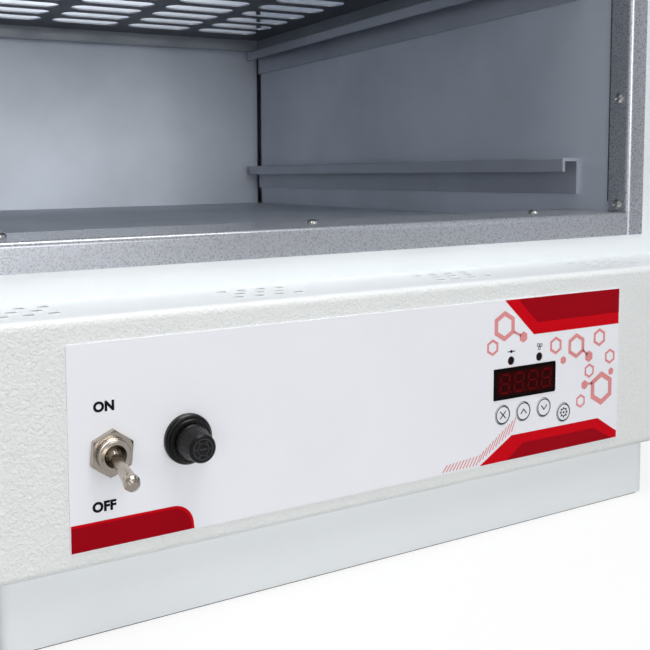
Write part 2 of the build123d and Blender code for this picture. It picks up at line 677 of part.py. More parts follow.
def fuse_body():
    """Flanged sleeve through the panel, with a terminal at its rear."""
    x, y, z = on_label(FUSE_AT)
    flange = [(9.4, 0), (9.4, 1.6), (8.9, 2.2), (8.2, 2.3), (8.2, 3.8), (7.8, 4.2)]
    body = turned((x, y, z), (0, -1, 0), flange)
    body += rod((x, y, z), (0, 1, 0), 6.2, 30)
    body -= rod((x, y - 6, z), (0, 1, 0), 4.6, 34)
    tail = block((x - 2.4, y + 29, z - 0.5), (x + 2.4, y + 38, z + 0.5))
    return body + tail


def fuse_nut():
    x, y, z = on_label(FUSE_AT)
    start = (x, BOX_FRONT_Y + SKIN, z)
    return hexagon(start, (0, 1, 0), 17, 4) - rod(start, (0, 1, 0), 6.2, 5)


def fuse_carrier():
    """Sprung clip that holds the fuse and draws out with the cap."""
    x, y, z = on_label(FUSE_AT)
    clip = turned((x, y - 4.6, z), (0, 1, 0), [(4.2, 0), (4.2, 9), (3.6, 9.5), (3.6, 14)])
    return clip - rod((x, y + 5, z), (0, 1, 0), 2.9, 8)


def fuse_link():
    """Glass fuse with metal end caps."""
    x, y, z = on_label(FUSE_AT)
    profile = [(2.6, 0), (2.6, 5), (2.4, 5.2), (2.4, 14.8), (2.6, 15), (2.6, 20)]
    return turned((x, y + 5.2, z), (0, 1, 0), profile)


def fuse_cap():
    """Tapered cap with a fluted grip and a flange at its foot."""
    x, y, z = on_label(FUSE_AT)
    profile = [(6.7, 4.8), (6.7, 5.8), (6.3, 6.2), (5.2, 13.2), (4.6, 13.8)]
    cap = turned((x, y, z), (0, -1, 0), profile)
    flute = Pos(6.3, 0, 6.6) * Rot(0, -9, 0) * Cylinder(0.3, 6.2, align=(Align.CENTER, Align.CENTER, Align.MIN))
    panel = Plane(origin=(x, y, z), z_dir=(0, -1, 0))
    return cap - [panel * (place * flute) for place in PolarLocations(0, FLUTES)]


# Temperature controller


def controller_case():
    """Open-fronted case behind the panel cut-out, with rear vents."""
    low, high = on_label((188.0, 9.0)), on_label((250.0, 52.0))
    y0 = BOX_FRONT_Y + SKIN
    case = block((low[0], y0, low[2]), (high[0], y0 + 34, high[2]))
    return case - block((low[0] + 2, y0 - 1, low[2] + 2), (high[0] - 2, y0 + 32, high[2] - 2))


def controller_board():
    """Circuit board with four push switches and the display block."""
    low, high = on_label((191.0, 12.0)), on_label((247.0, 49.0))
    y0 = BOX_FRONT_Y + 7.0
    board = block((low[0], y0, low[2]), (high[0], y0 + 1.6, high[2]))
    x, y, z = on_label(DISPLAY_AT)
    board += block((x - 17, BOX_FRONT_Y + 2, z - 6), (x + 17, y0 + 0.5, z + 6))
    for place in KEY_AT:
        x, y, z = on_label(place)
        board += block((x - 3, y0 - 3.5, z - 3), (x + 3, y0 + 0.5, z + 3))
        board += rod((x, y0 - 3, z), (0, -1, 0), 1.7, y0 - 3 - (BOX_FRONT_Y + 1.0 + KEY_TRAVEL))
    return board


def display_window():
    x, y, z = on_label(DISPLAY_AT)
    half_w, half_h = DISPLAY_SIZE[0] / 2 - 0.1, DISPLAY_SIZE[1] / 2 - 0.1
    pane = block((x - half_w, y - 0.2, z - half_h), (x + half_w, y + 1.4, z + half_h))
    return fillet(pane.edges().filter_by(Axis.Y), 0.8)


def indicator_leds():
    return group(
        turned(on_label(place, -4.0), (0, -1, 0), [(LED_R + 0.3, 0), (LED_R + 0.3, 2.6), (LED_R - 0.15, 2.6),
                                                 (LED_R - 0.15, 3.9), (1.2, 4.3)])
        for place in LED_AT
    )


def key(place):
    """Membrane key disc with its stem, which presses a push switch."""
    x, y, z = on_label(place, 0.25)
    profile = [(KEY_R - 0.3, 0), (KEY_R, 0.2), (KEY_R, 1.0), (2.0, 1.2), (2.0, 1.55)]
    return turned((x, y, z), (0, 1, 0), profile)


def power_inlet():
    """Recessed mains inlet on the rear sheet with three flat pins."""
    x, z = INLET_X, INLET_Z
    flange = block((x - 25, REAR_Y + SKIN, z - 15), (x + 25, REAR_Y + SKIN + 3, z + 15))
    flange = fillet(flange.edges().filter_by(Axis.Y), 4)
    body = block((x - 13.5, REAR_Y - 22, z - 10.5), (x + 13.5, REAR_Y + SKIN + 1, z + 10.5))
    recess = block((x - 12, REAR_Y - 16, z - 8.5), (x + 12, REAR_Y + 5, z + 8.5))
    pins = [block((x + dx - 1, REAR_Y - 17, z + dz - 2), (x + dx + 1, REAR_Y - 1, z + dz + 2))
            for dx, dz in ((-7, -1.5), (0, 2.5), (7, -1.5))]
    return flange + body - recess + pins


# Door, modelled closed and swung to its resting angle


def swung(shape):
    """Turn a closed-door piece about the hinge line to the resting angle."""
    line = Axis((HINGE_X, HINGE_Y, 0), (0, 0, 1))
    return shape.rotate(line, DOOR_REST_ANGLE)


DOOR_REAR_Y = FACE_Y - DOOR_GAP
DOOR_FRONT_Y = DOOR_REAR_Y - DOOR_T


def spindle_hole():
    return rod((LATCH_X, DOOR_FRONT_Y - 10, LATCH_Z), (0, 1, 0), LATCH_BUSH_R, DOOR_T + 20)


def door_skin():
    """Outer pan of the door, open to the rear, with rounded front edges."""
    low, high = (-HALF_W, DOOR_FRONT_Y, DOOR_LOW_Z), (HALF_W, DOOR_REAR_Y, DOOR_HIGH_Z)
    pan = block(low, high)
    pan = fillet(pan.edges().group_by(Axis.Y)[0], 3.0)
    pan -= block((low[0] + SKIN, low[1] + SKIN, low[2] + SKIN), (high[0] - SKIN, high[1] + 1, high[2] - SKIN))
    return pan - spindle_hole()


def door_inner_panel():
    """Inner panel with a raised centre that fills the mouth of the closed oven."""
    rim_x, rim_z = HALF_W - SKIN - 0.2, SKIN + 0.2
    sheet = block((-rim_x, DOOR_REAR_Y - 2, DOOR_LOW_Z + rim_z), (rim_x, DOOR_REAR_Y - 1, DOOR_HIGH_Z - rim_z))
    inset = 6.0
    low = (-MOUTH_HALF_W + inset, DOOR_REAR_Y - 2, MOUTH_LOW_Z + inset)
    high = (MOUTH_HALF_W - inset, DOOR_REAR_Y + 12, MOUTH_HIGH_Z - inset)
    step = block(low, high)
    step = chamfer(step.edges().group_by(Axis.Y)[-1], 5.0)
    hollow = block((low[0] + 5, low[1] - 1, low[2] + 5), (high[0] - 5, high[1] - 1, high[2] - 5))
    return sheet + step - hollow - spindle_hole()


def door_insulation():
    margin = SKIN + 0.6
    slab = block((-HALF_W + margin, DOOR_FRONT_Y + margin, DOOR_LOW_Z + margin),
                 (HALF_W - margin, DOOR_REAR_Y - 2.5, DOOR_HIGH_Z - margin))
    slab = chamfer(slab.edges().group_by(Axis.Y)[0], 2.0)
    return slab - spindle_hole()


def door_gasket():
    """Silicone seal that presses on the white face outside the mouth frame."""
    y0, y1 = DOOR_REAR_Y - 1.0, FACE_Y - 0.3
    inner = (MOUTH_HALF_W + ANGLE_FACE + ANGLE_SKIN + 2, MOUTH_LOW_Z - ANGLE_FACE - 3,
             MOUTH_HIGH_Z + ANGLE_FACE + 3)
    wide = 8.0
    outer = block((-inner[0] - wide, y0, DOOR_LOW_Z + SKIN + 0.5), (inner[0] + wide, y1, inner[2] + wide))
    hole = block((-inner[0], y0 - 1, inner[1]), (inner[0], y1 + 1, inner[2]))
    return fillet(outer.edges().filter_by(Axis.Y), 6) - hole


def knuckle(z, count, first):
    """Every second barrel of a hinge whose barrels share LEAF_HALF on each side of z."""
    step = 2 * LEAF_HALF / count
    solids = [
        ring((HINGE_X, HINGE_Y, z - LEAF_HALF + k * step + 0.2), (0, 0, 1), HINGE_R, PIN_R, step - 0.4)
        for k in range(first, count, 2)
    ]
    return solids


def hinge_leaf(z, door):
    """A leaf on the side of the cabinet or door, with its barrels."""
    reach = -26.0 if door else 30.0
    y0, y1 = sorted((HINGE_Y + (reach / abs(reach)) * 0.6, HINGE_Y + reach))
    leaf = block((HALF_W, y0, z - LEAF_HALF), (HALF_W + LEAF_T, y1, z + LEAF_HALF))
    if not door:
        leaf -= block((HALF_W - 1, y0 - 1, z - LEAF_HALF - 1), (HALF_W + LEAF_T + 1, FACE_Y + 1.5, z + LEAF_HALF + 1))
    barrels = knuckle(z, 3, 1 if door else 0)
    step = 2 * LEAF_HALF / 3
    webs = []
    for k in range(1 if door else 0, 3, 2):
        low = z - LEAF_HALF + k * step + 0.2
        y_web = sorted((HINGE_Y, HINGE_Y + (-8.0 if door else 12.0)))
        webs.append(block((HALF_W + 0.4, y_web[0], low), (HALF_W + LEAF_T + 0.4, y_web[1], low + step - 0.4)))
    hole = rod((HINGE_X, HINGE_Y, z - LEAF_HALF - 1), (0, 0, 1), PIN_R, 2 * LEAF_HALF + 2)
    solid = leaf + barrels + webs - hole
    return solid


def hinge_leaves(door):
    return group(hinge_leaf(z, door) for z in HINGE_Z)


def hinge_pins():
    return group(
        turned((HINGE_X, HINGE_Y, z - LEAF_HALF - 3), (0, 0, 1),
               [(PIN_R + 1.5, 0), (PIN_R + 1.5, 2.5), (PIN_R, 2.6), (PIN_R, 2 * LEAF_HALF + 4),
                (PIN_R - 1, 2 * LEAF_HALF + 6)])
        for z in HINGE_Z
    )


def latch_bush():
    """Bearing that carries the latch spindle through the door."""
    start = (LATCH_X, DOOR_FRONT_Y, LATCH_Z)
    rose = turned(start, (0, -1, 0), [(17, 0), (17, 3), (15, 5)])
    sleeve = rod(start, (0, 1, 0), LATCH_BUSH_R, DOOR_T)
    bore = rod((LATCH_X, DOOR_FRONT_Y - 10, LATCH_Z), (0, 1, 0), SPINDLE_R + 0.1, DOOR_T + 20)
    return rose + sleeve - bore


def latch_handle():
    """Lever handle on a round hub, hanging down when unlatched."""
    y = DOOR_FRONT_Y - 5.3
    hub = turned((LATCH_X, y, LATCH_Z), (0, -1, 0), [(12, 0), (13, 3), (13, 14), (11, 17)])
    root = Plane(origin=(LATCH_X, y - 10, LATCH_Z), x_dir=(1, 0, 0), z_dir=(0, -0.06, -1))
    grip = extrude(root * RectangleRounded(20, 10, 3), 105)
    return hub + chamfer(grip.faces().sort_by(Axis.Z)[0].edges(), 1.5)


def latch_spindle():
    """Spindle with the tongue that turns behind the keeper slot of the closed door."""
    start = DOOR_FRONT_Y - 5.3
    end = FACE_Y + SKIN + 4.5
    bar = rod((LATCH_X, start, LATCH_Z), (0, 1, 0), SPINDLE_R, end - start)
    low = (LATCH_X - TONGUE_W / 2, end - 3.0, LATCH_Z - TONGUE_H / 2)
    tongue = block(low, (LATCH_X + TONGUE_W / 2, end, LATCH_Z + TONGUE_H / 2))
    return bar + fillet(tongue.edges().filter_by(Axis.Y), 1.5)


def nodes():
    """Every node's name and solid."""
    yield "plinth", plinth()
    yield "foot_strip", foot_strip()
    yield "base_pan", base_pan()
    yield "outer_side_left", outer_side(-1)
    yield "outer_side_right", outer_side(1)
    yield "outer_top", outer_top()
    yield "rear_cover", rear_cover()
    yield "control_box", control_box()
    yield "label_panel", label_panel()
    yield "sill_angle", sill_angle()
    yield "head_angle", sill_angle(high=True)
    yield "jamb_left", jamb_angle(-1)
    yield "jamb_right", jamb_angle(1)
    yield "cabinet_screws", cabinet_screws()
    yield "chamber_floor", chamber_floor()
    yield "chamber_ceiling", chamber_floor(high=True)
    yield "chamber_side_left", chamber_side(-1)
    yield "chamber_side_right", chamber_side(1)
    yield "duct_walls", duct_walls()
    yield "chamber_back", chamber_back()
    yield "plenum_back", plenum_back()
    yield "rails_left", rails(-1)
    yield "rails_right", rails(1)
    yield "shelf_lower", shelf(1)
    yield "shelf_upper", shelf(3)
    yield "insulation", insulation()
    yield "heater_element", heater_element()
    yield "fan_motor", fan_motor()
    yield "fan_shaft", fan_shaft()
    yield "fan_impeller", fan_impeller()
    yield "fan_guard", fan_guard()
    yield "temperature_probe", temperature_probe()
    yield "exhaust_tube", exhaust_tube()
    yield "exhaust_damper", exhaust_damper()
    yield "toggle_body", toggle_body()
    yield "toggle_nut", toggle_nut()
    yield "toggle_lever", toggle_lever()
    yield "fuse_body", fuse_body()
    yield "fuse_nut", fuse_nut()
    yield "fuse_carrier", fuse_carrier()
    yield "fuse_link", fuse_link()
    yield "fuse_cap", fuse_cap()
    yield "controller_case", controller_case()
    yield "controller_board", controller_board()
    yield "display_window", display_window()
    yield "indicator_leds", indicator_leds()
    for number, place in enumerate(KEY_AT, start=1):
        yield f"key_{number}", key(place)
    yield "power_inlet", power_inlet()
    yield "hinge_leaves_cabinet", hinge_leaves(door=False)
    yield "hinge_pins", hinge_pins()
    yield "hinge_leaves_door", swung(hinge_leaves(door=True))
    yield "door_skin", swung(door_skin())
    yield "door_panel", swung(door_inner_panel())
    yield "door_insulation", swung(door_insulation())
    yield "door_gasket", swung(door_gasket())
    yield "latch_bush", swung(latch_bush())
    yield "latch_handle", swung(latch_handle() + latch_spindle())


for node_name, node_shape in nodes():
    save(node_name, node_shape)
    print(node_name, len(node_shape.solids()), round(node_shape.volume, 1))
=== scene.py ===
import json
from math import cos, pi, radians, sin

import bmesh
import bpy
from mathutils import Matrix, Vector


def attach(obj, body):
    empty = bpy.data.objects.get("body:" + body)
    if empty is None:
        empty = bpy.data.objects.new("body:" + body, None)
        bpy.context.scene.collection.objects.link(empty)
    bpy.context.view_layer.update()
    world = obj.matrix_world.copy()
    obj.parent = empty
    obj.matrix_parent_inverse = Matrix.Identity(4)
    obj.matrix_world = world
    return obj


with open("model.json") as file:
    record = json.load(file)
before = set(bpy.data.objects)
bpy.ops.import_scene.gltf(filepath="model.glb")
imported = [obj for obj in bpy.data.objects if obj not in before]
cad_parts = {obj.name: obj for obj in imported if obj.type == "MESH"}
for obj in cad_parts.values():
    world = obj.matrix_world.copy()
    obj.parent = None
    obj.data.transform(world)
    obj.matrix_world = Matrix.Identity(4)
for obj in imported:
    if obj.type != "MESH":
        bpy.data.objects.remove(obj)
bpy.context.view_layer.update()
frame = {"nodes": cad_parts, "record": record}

MM = 0.001
nodes = frame["nodes"]

# Camera: the view from the front left at the lower right part of the oven

FOCAL_PX = 815.9
FRAME_PX = 650.0
CENTRE_PX = (201.4, 231.3)
YAW = radians(25.22)
PITCH = radians(-4.10)
ROLL = radians(-0.74)
EYE = Vector((-0.2144, -0.5391, 0.1670))


def add_camera():
    forward = Vector((sin(YAW) * cos(PITCH), cos(YAW) * cos(PITCH), sin(PITCH)))
    level = Vector((cos(YAW), -sin(YAW), 0.0))
    upright = level.cross(forward)
    right = cos(ROLL) * level + sin(ROLL) * upright
    up = cos(ROLL) * upright - sin(ROLL) * level
    data = bpy.data.cameras.new("camera")
    data.sensor_width = 36.0
    data.lens = FOCAL_PX / FRAME_PX * data.sensor_width
    data.shift_x = (FRAME_PX / 2 - CENTRE_PX[0]) / FRAME_PX
    data.shift_y = -(FRAME_PX / 2 - CENTRE_PX[1]) / FRAME_PX
    data.clip_start = 0.01
    data.clip_end = 50.0
    camera = bpy.data.objects.new("camera", data)
    turn = Matrix((right, up, -forward)).transposed()
    camera.matrix_world = Matrix.Translation(EYE) @ turn.to_4x4()
    bpy.context.collection.objects.link(camera)
    bpy.context.scene.camera = camera


# Light, floor and background


def add_area(name, place, aim, size, power, spread_angle=180.0):
    data = bpy.data.lights.new(name, "AREA")
    data.shape = "RECTANGLE"
    data.size, data.size_y = size
    data.energy = power
    data.spread = radians(spread_angle)
    lamp = bpy.data.objects.new(name, data)
    lamp.location = place
    aim_direction = Vector(aim) - Vector(place)
    lamp.rotation_euler = aim_direction.to_track_quat("-Z", "Y").to_euler()
    bpy.context.collection.objects.link(lamp)


def add_world(level_strength, zenith_strength):
    """Soft light, stronger from above, shown as plain white where nothing stands in front of it."""
    world = bpy.data.worlds.new("studio")
    bpy.context.scene.world = world
    world.use_nodes = True
    tree = world.node_tree
    light = tree.nodes["Background"]
    place = tree.nodes.new("ShaderNodeTexCoord")
    axes = tree.nodes.new("ShaderNodeSeparateXYZ")
    height = tree.nodes.new("ShaderNodeMapRange")
    height.inputs["To Min"].default_value = level_strength
    height.inputs["To Max"].default_value = zenith_strength
    tree.links.new(place.outputs["Generated"], axes.inputs[0])
    tree.links.new(axes.outputs["Z"], height.inputs["Value"])
    tree.links.new(height.outputs["Result"], light.inputs["Strength"])
    white = tree.nodes.new("ShaderNodeBackground")
    white.inputs["Strength"].default_value = 1.0
    for shader in (light, white):
        shader.inputs["Color"].default_value = (1.0, 1.0, 1.0, 1.0)
    path = tree.nodes.new("ShaderNodeLightPath")
    mix = tree.nodes.new("ShaderNodeMixShader")
    tree.links.new(path.outputs["Is Camera Ray"], mix.inputs["Fac"])
    tree.links.new(light.outputs[0], mix.inputs[1])
    tree.links.new(white.outputs[0], mix.inputs[2])
    tree.links.new(mix.outputs[0], tree.nodes["World Output"].inputs["Surface"])


def add_floor():
    half = 6.0
    mesh = bpy.data.meshes.new("floor")
    mesh.from_pydata(
        [(-half, -half, 0.0), (half, -half, 0.0), (half, half, 0.0), (-half, half, 0.0)],
        [],
        [(0, 1, 2, 3)],
    )
    floor = bpy.data.objects.new("floor", mesh)
    bpy.context.collection.objects.link(floor)
    material = paint("floor_white", srgb(178, 179, 180), 0.6)
    mesh.materials.append(material)
    tree = material.node_tree
    white = tree.nodes.new("ShaderNodeEmission")
    white.inputs["Strength"].default_value = 1.13
    path = tree.nodes.new("ShaderNodeLightPath")
    share = tree.nodes.new("ShaderNodeMath")
    share.operation = "MULTIPLY"
    share.inputs[1].default_value = 0.78
    mix = tree.nodes.new("ShaderNodeMixShader")
    tree.links.new(path.outputs["Is Camera Ray"], share.inputs[0])
    tree.links.new(share.outputs[0], mix.inputs["Fac"])
    tree.links.new(tree.nodes["Principled BSDF"].outputs[0], mix.inputs[1])
    tree.links.new(white.outputs[0], mix.inputs[2])
    tree.links.new(mix.outputs[0], tree.nodes["Material Output"].inputs["Surface"])


# Materials


def srgb(*display):
    """Linear values of an 8-bit display colour."""
    return tuple(((v / 255 + 0.055) / 1.055) ** 2.4 for v in display)


def paint(name, colour, roughness, metallic=0.0, **sockets):
    material = bpy.data.materials.new(name)
    material.use_nodes = True
    shader = material.node_tree.nodes["Principled BSDF"]
    shader.inputs["Base Color"].default_value = (*colour, 1.0)
    shader.inputs["Roughness"].default_value = roughness
    shader.inputs["Metallic"].default_value = metallic
    for socket, value in sockets.items():
        shader.inputs[socket.replace("_", " ")].default_value = value
    return material


def noise(material, per_metre, detail=2.0, stretch=(1.0, 1.0, 1.0), **settings):
    """A noise field over the piece, with its grain in cycles per metre."""
    tree = material.node_tree
    place = tree.nodes.new("ShaderNodeTexCoord")
    mapping = tree.nodes.new("ShaderNodeMapping")
    mapping.inputs["Scale"].default_value = stretch
    field = tree.nodes.new("ShaderNodeTexNoise")
    field.inputs["Scale"].default_value = per_metre
    field.inputs["Detail"].default_value = detail
    for socket, value in settings.items():
        field.inputs[socket].default_value = value
    tree.links.new(place.outputs["Object"], mapping.inputs["Vector"])
    tree.links.new(mapping.outputs["Vector"], field.inputs["Vector"])
    return field.outputs["Fac"]


def spread(material, value, low, high, out_low, out_high):
    """Map a field's range onto another, clamped at both ends."""
    node = material.node_tree.nodes.new("ShaderNodeMapRange")
    for socket, number in zip(("From Min", "From Max", "To Min", "To Max"), (low, high, out_low, out_high)):
        node.inputs[socket].default_value = number
    material.node_tree.links.new(value, node.inputs["Value"])
    return node.outputs["Result"]


def shade(material, value, dark, light):
    """Colour the piece between two colours by a field."""
    tree = material.node_tree
    mix = tree.nodes.new("ShaderNodeMix")
    mix.data_type = "RGBA"
    mix.inputs["A"].default_value = (*dark, 1.0)
    mix.inputs["B"].default_value = (*light, 1.0)
    tree.links.new(value, mix.inputs["Factor"])
    tree.links.new(mix.outputs["Result"], tree.nodes["Principled BSDF"].inputs["Base Color"])


def emboss(material, value, depth, strength=1.0):
    """Raise the surface by a field, depth metres from its lowest to its highest."""
    tree = material.node_tree
    bump = tree.nodes.new("ShaderNodeBump")
    bump.inputs["Distance"].default_value = depth
    bump.inputs["Strength"].default_value = strength
    shader = tree.nodes["Principled BSDF"]
    if shader.inputs["Normal"].is_linked:
        tree.links.new(shader.inputs["Normal"].links[0].from_socket, bump.inputs["Normal"])
    tree.links.new(value, bump.inputs["Height"])
    tree.links.new(bump.outputs["Normal"], shader.inputs["Normal"])


def vary_roughness(material, value, low, high):
    roughness = spread(material, value, 0.3, 0.7, low, high)
    tree = material.node_tree
    tree.links.new(roughness, tree.nodes["Principled BSDF"].inputs["Roughness"])


def scaled(colour, factor):
    return tuple(min(1.0, channel * factor) for channel in colour)


def worn(name, colour, roughness, metallic=0.0, grain=900.0, depth=0.00004, contrast=0.06, **sockets):
    """A surface with fine grain, slow changes of shade and uneven gloss."""
    material = paint(name, colour, roughness, metallic, **sockets)
    cloud = spread(material, noise(material, 25.0, 3.0), 0.3, 0.7, 0.0, 1.0)
    shade(material, cloud, scaled(colour, 1.0 - contrast), scaled(colour, 1.0 + contrast))
    fine = noise(material, grain, 2.0)
    vary_roughness(material, fine, roughness * 0.85, roughness * 1.15)
    emboss(material, fine, depth)
    return material


def brushed(name, colour, roughness, stretch):
    """Sheet metal with fine lines along one direction."""
    material = paint(name, colour, roughness, 1.0)
    lines = noise(material, 1500.0, 3.0, stretch)
    shade(material, spread(material, lines, 0.3, 0.7, 0.0, 1.0), scaled(colour, 0.9), scaled(colour, 1.08))
    vary_roughness(material, lines, roughness * 0.8, roughness * 1.2)
    emboss(material, lines, 0.00002)
    return material


def upward(material):
    """How far the surface faces up, from -1 to 1."""
    tree = material.node_tree
    place = tree.nodes.new("ShaderNodeTexCoord")
    axes = tree.nodes.new("ShaderNodeSeparateXYZ")
    tree.links.new(place.outputs["Normal"], axes.inputs[0])
    return axes.outputs["Z"]


def orange_peel():
    """White powder coat, coarse and wormy on the front, smooth on the ledge, where a paler colour is painted
    as the highlight of the light from above.
    """
    # ledge is a paler, bluer copy of the front colour for faces that look up: a painted highlight, not a
    # different paint.
    front, ledge = srgb(236, 238, 237), srgb(238, 242, 244)
    material = paint("textured_white", front, 0.42, Coat_Weight=0.15, Coat_Roughness=0.3)
    tree = material.node_tree
    rise = upward(material)
    # Painted highlight: the colour turns towards the ledge colour as the face turns up.
    shade(material, spread(material, rise, 0.5, 0.95, 0.0, 1.0), front, ledge)
    skin = noise(material, 850.0, 1.5, Roughness=0.45, Distortion=0.6)
    relief = tree.nodes.new("ShaderNodeMath")
    relief.operation = "MULTIPLY"
    tree.links.new(spread(material, skin, 0.25, 0.75, 0.0, 1.0), relief.inputs[0])
    tree.links.new(spread(material, rise, 0.5, 0.95, 1.0, 0.08), relief.inputs[1])
    emboss(material, relief.outputs[0], 0.00028)
    vary_roughness(material, skin, 0.36, 0.48)
    return material


def hammertone():
    """Silver enamel that dries in small flat cells with darker veins between them."""
    silver = srgb(176, 179, 186)
    material = paint("hammer_silver", silver, 0.28, 0.5, Coat_Weight=0.4, Coat_Roughness=0.2)
    cells = noise(material, 1300.0, 1.5, Roughness=0.5, Distortion=0.2)
    veins = spread(material, cells, 0.25, 0.75, 0.0, 1.0)
    shade(material, veins, scaled(silver, 0.88), scaled(silver, 1.06))
    emboss(material, veins, 0.000016)
    vary_roughness(material, cells, 0.24, 0.34)
    return material


def chamber_metal():
    """Matt grey sheet of the chamber, faintly mottled."""
    grey = srgb(212, 219, 229)
    material = paint("chamber_sheet", grey, 0.45, 0.45)
    cloud = spread(material, noise(material, 9.0, 4.0), 0.35, 0.65, 0.0, 1.0)
    shade(material, cloud, scaled(grey, 0.90), scaled(grey, 1.08))
    fine = noise(material, 1400.0, 2.0)
    emboss(material, fine, 0.00003)
    vary_roughness(material, fine, 0.42, 0.52)
    return material


def shelf_sheet():
    """Zinc-grey sheet of the shelves, with painted shade on the pressed tray's downward faces."""
    # The second colour is painted shade: a dark grey for faces that look down, where the shelf lies in
    # shadow.
    zinc, underside_shade = srgb(170, 175, 184), srgb(96, 99, 106)
    material = worn("shelf_metal", zinc, 0.40, 0.35, contrast=0.1)
    tree = material.node_tree
    colour = tree.nodes["Principled BSDF"].inputs["Base Color"]
    mix = tree.nodes.new("ShaderNodeMix")
    mix.data_type = "RGBA"
    mix.inputs["B"].default_value = (*underside_shade, 1.0)
    tree.links.new(colour.links[0].from_socket, mix.inputs["A"])
    # Painted shade: down-facing faces take the dark grey.
    tree.links.new(spread(material, upward(material), -0.9, -0.5, 1.0, 0.0), mix.inputs["Factor"])
    tree.links.new(mix.outputs["Result"], colour)
    return material


def threaded_nickel():
    """The switch's bushing, with the fine thread on its outside."""
    material = worn("nickel_thread", srgb(188, 179, 168), 0.22, 1.0, depth=0.000003, contrast=0.06)
    tree = material.node_tree
    place = tree.nodes.new("ShaderNodeTexCoord")
    thread = tree.nodes.new("ShaderNodeTexWave")
    thread.bands_direction = "Y"
    thread.inputs["Scale"].default_value = 390.0
    tree.links.new(place.outputs["Object"], thread.inputs["Vector"])
    emboss(material, thread.outputs["Fac"], 0.00022)
    return material


materials = {
    "white_paint": worn("white_paint", srgb(239, 243, 245), 0.38, grain=500.0, depth=0.00003, contrast=0.01),
    "textured_white": orange_peel(),
    "grey_sheet": worn("grey_sheet", srgb(205, 208, 211), 0.45),
    "label_print": worn("label_print", srgb(243, 244, 249), 0.40, grain=2000.0, depth=0.00001, contrast=0.01),
    "hammer_silver": hammertone(),
    "screw_steel": worn("screw_steel", srgb(215, 214, 212), 0.18, 1.0, contrast=0.1),
    "chamber_sheet": chamber_metal(),
    "rail_steel": worn("rail_steel", srgb(178, 183, 193), 0.38, 0.5, contrast=0.06),
    "shelf_metal": shelf_sheet(),
    "mineral_wool": worn("mineral_wool", srgb(205, 190, 140), 0.95, grain=700.0, depth=0.0006, contrast=0.2),
    "heater_steel": worn("heater_steel", srgb(92, 86, 82), 0.55, 0.8, contrast=0.15),
    "motor_metal": worn("motor_metal", srgb(150, 152, 156), 0.45, 0.8),
    "impeller_metal": worn("impeller_metal", srgb(200, 202, 205), 0.35, 0.9),
    "damper_knob": worn("damper_knob", srgb(150, 152, 156), 0.35, 0.9),
    "nickel": worn("nickel", srgb(188, 179, 168), 0.19, 1.0, grain=1200.0, depth=0.000003, contrast=0.06),
    "black_plastic": worn("black_plastic", srgb(8, 8, 9), 0.3, grain=1800.0, depth=0.00001, contrast=0.2,
                          Specular_IOR_Level=0.3),
    "fuse_glass": paint("fuse_glass", srgb(235, 238, 238), 0.08, Transmission_Weight=0.9),
    "circuit_board": worn("circuit_board", srgb(30, 92, 52), 0.45, contrast=0.15),
    "red_window": paint("red_window", srgb(46, 4, 6), 0.3, Specular_IOR_Level=0.03),
    "led_lens": paint("led_lens", srgb(28, 8, 8), 0.25, Specular_IOR_Level=0.15),
    "key_film": worn("key_film", srgb(240, 241, 247), 0.42, grain=2000.0, depth=0.00001, contrast=0.01),
    "hinge_steel": brushed("hinge_steel", srgb(190, 192, 196), 0.32, (1.0, 1.0, 0.05)),
    "silicone_red": worn("silicone_red", srgb(140, 52, 42), 0.60, contrast=0.12),
    "black_rubber": worn("black_rubber", srgb(60, 60, 59), 0.75, contrast=0.2),
    "handle_plastic": worn("handle_plastic", srgb(28, 28, 30), 0.42, grain=1500.0, depth=0.00003,
                           contrast=0.2),
}

for part in frame["record"]["subparts"]:
    mesh = nodes[part["node"]].data
    mesh.materials.clear()
    mesh.materials.append(materials[part["material_slot"]])

bushing = nodes["toggle_body"].data
bushing.materials.clear()
bushing.materials.append(threaded_nickel())

# Printing on the label, in millimetres from its lower left corner

LABEL_LEFT = -139.7
LABEL_LOW = 34.9
LABEL_W = 275.4
LABEL_H = 73.9
LABEL_FACE = -270.5
PRINT_LIFT = 0.06
KEYS = [(200.4, 21.7), (213.0, 21.7), (225.8, 21.8), (238.6, 17.7)]
LAMPS = [(205.2, 45.9), (222.6, 45.9)]
DISPLAY = (213.9, 35.7)
FUSE = (45.0, 34.8)
CAP_FACE = 13.8
DISPLAY_SIZE = (38.2, 14.4)
FIGURE_W = 5.2
FIGURE_H = 8.2
FIGURE_PITCH = 8.5
FIGURE_LEAN = 0.09


def printing_ink(name, colour, roughness=0.38, contrast=0.03):
    """Ink that lies flat on the label and hardly shines."""
    return worn(name, colour, roughness, grain=2000.0, depth=0.00001, contrast=contrast,
                Specular_IOR_Level=0.05)


inks = {
    "ink_black": printing_ink("ink_black", srgb(22, 22, 28), 0.45, 0.1),
    "ink_red": printing_ink("ink_red", srgb(206, 2, 22)),
    "ink_dark_red": printing_ink("ink_dark_red", srgb(158, 1, 20)),
    "ink_pink": printing_ink("ink_pink", srgb(228, 148, 148), 0.40, 0.05),
    # Grey for the fuse cap's moulded marks: a painted highlight on relief of the same black plastic.
    "moulded_relief_highlight": paint("moulded_relief_highlight", srgb(52, 52, 55), 0.35, Specular_IOR_Level=0.4),
    "ink_window": paint("ink_window", srgb(10, 5, 7), 0.3, Specular_IOR_Level=0.05),
    "ink_segment": paint("ink_segment", srgb(98, 6, 10), 0.3, Specular_IOR_Level=0.03),
}


def label_point(across, up, lift=PRINT_LIFT):
    """A place on the label, in metres, from millimetres along it and lift in front of it."""
    return Vector((LABEL_LEFT + across, LABEL_FACE - lift, LABEL_LOW + up)) * MM


def linked(name, build, material):
    """An object in the scene from a finished bmesh."""
    mesh = bpy.data.meshes.new(name)
    build.to_mesh(mesh)
    build.free()
    mesh.materials.append(material)
    piece = bpy.data.objects.new(name, mesh)
    bpy.context.collection.objects.link(piece)
    return piece


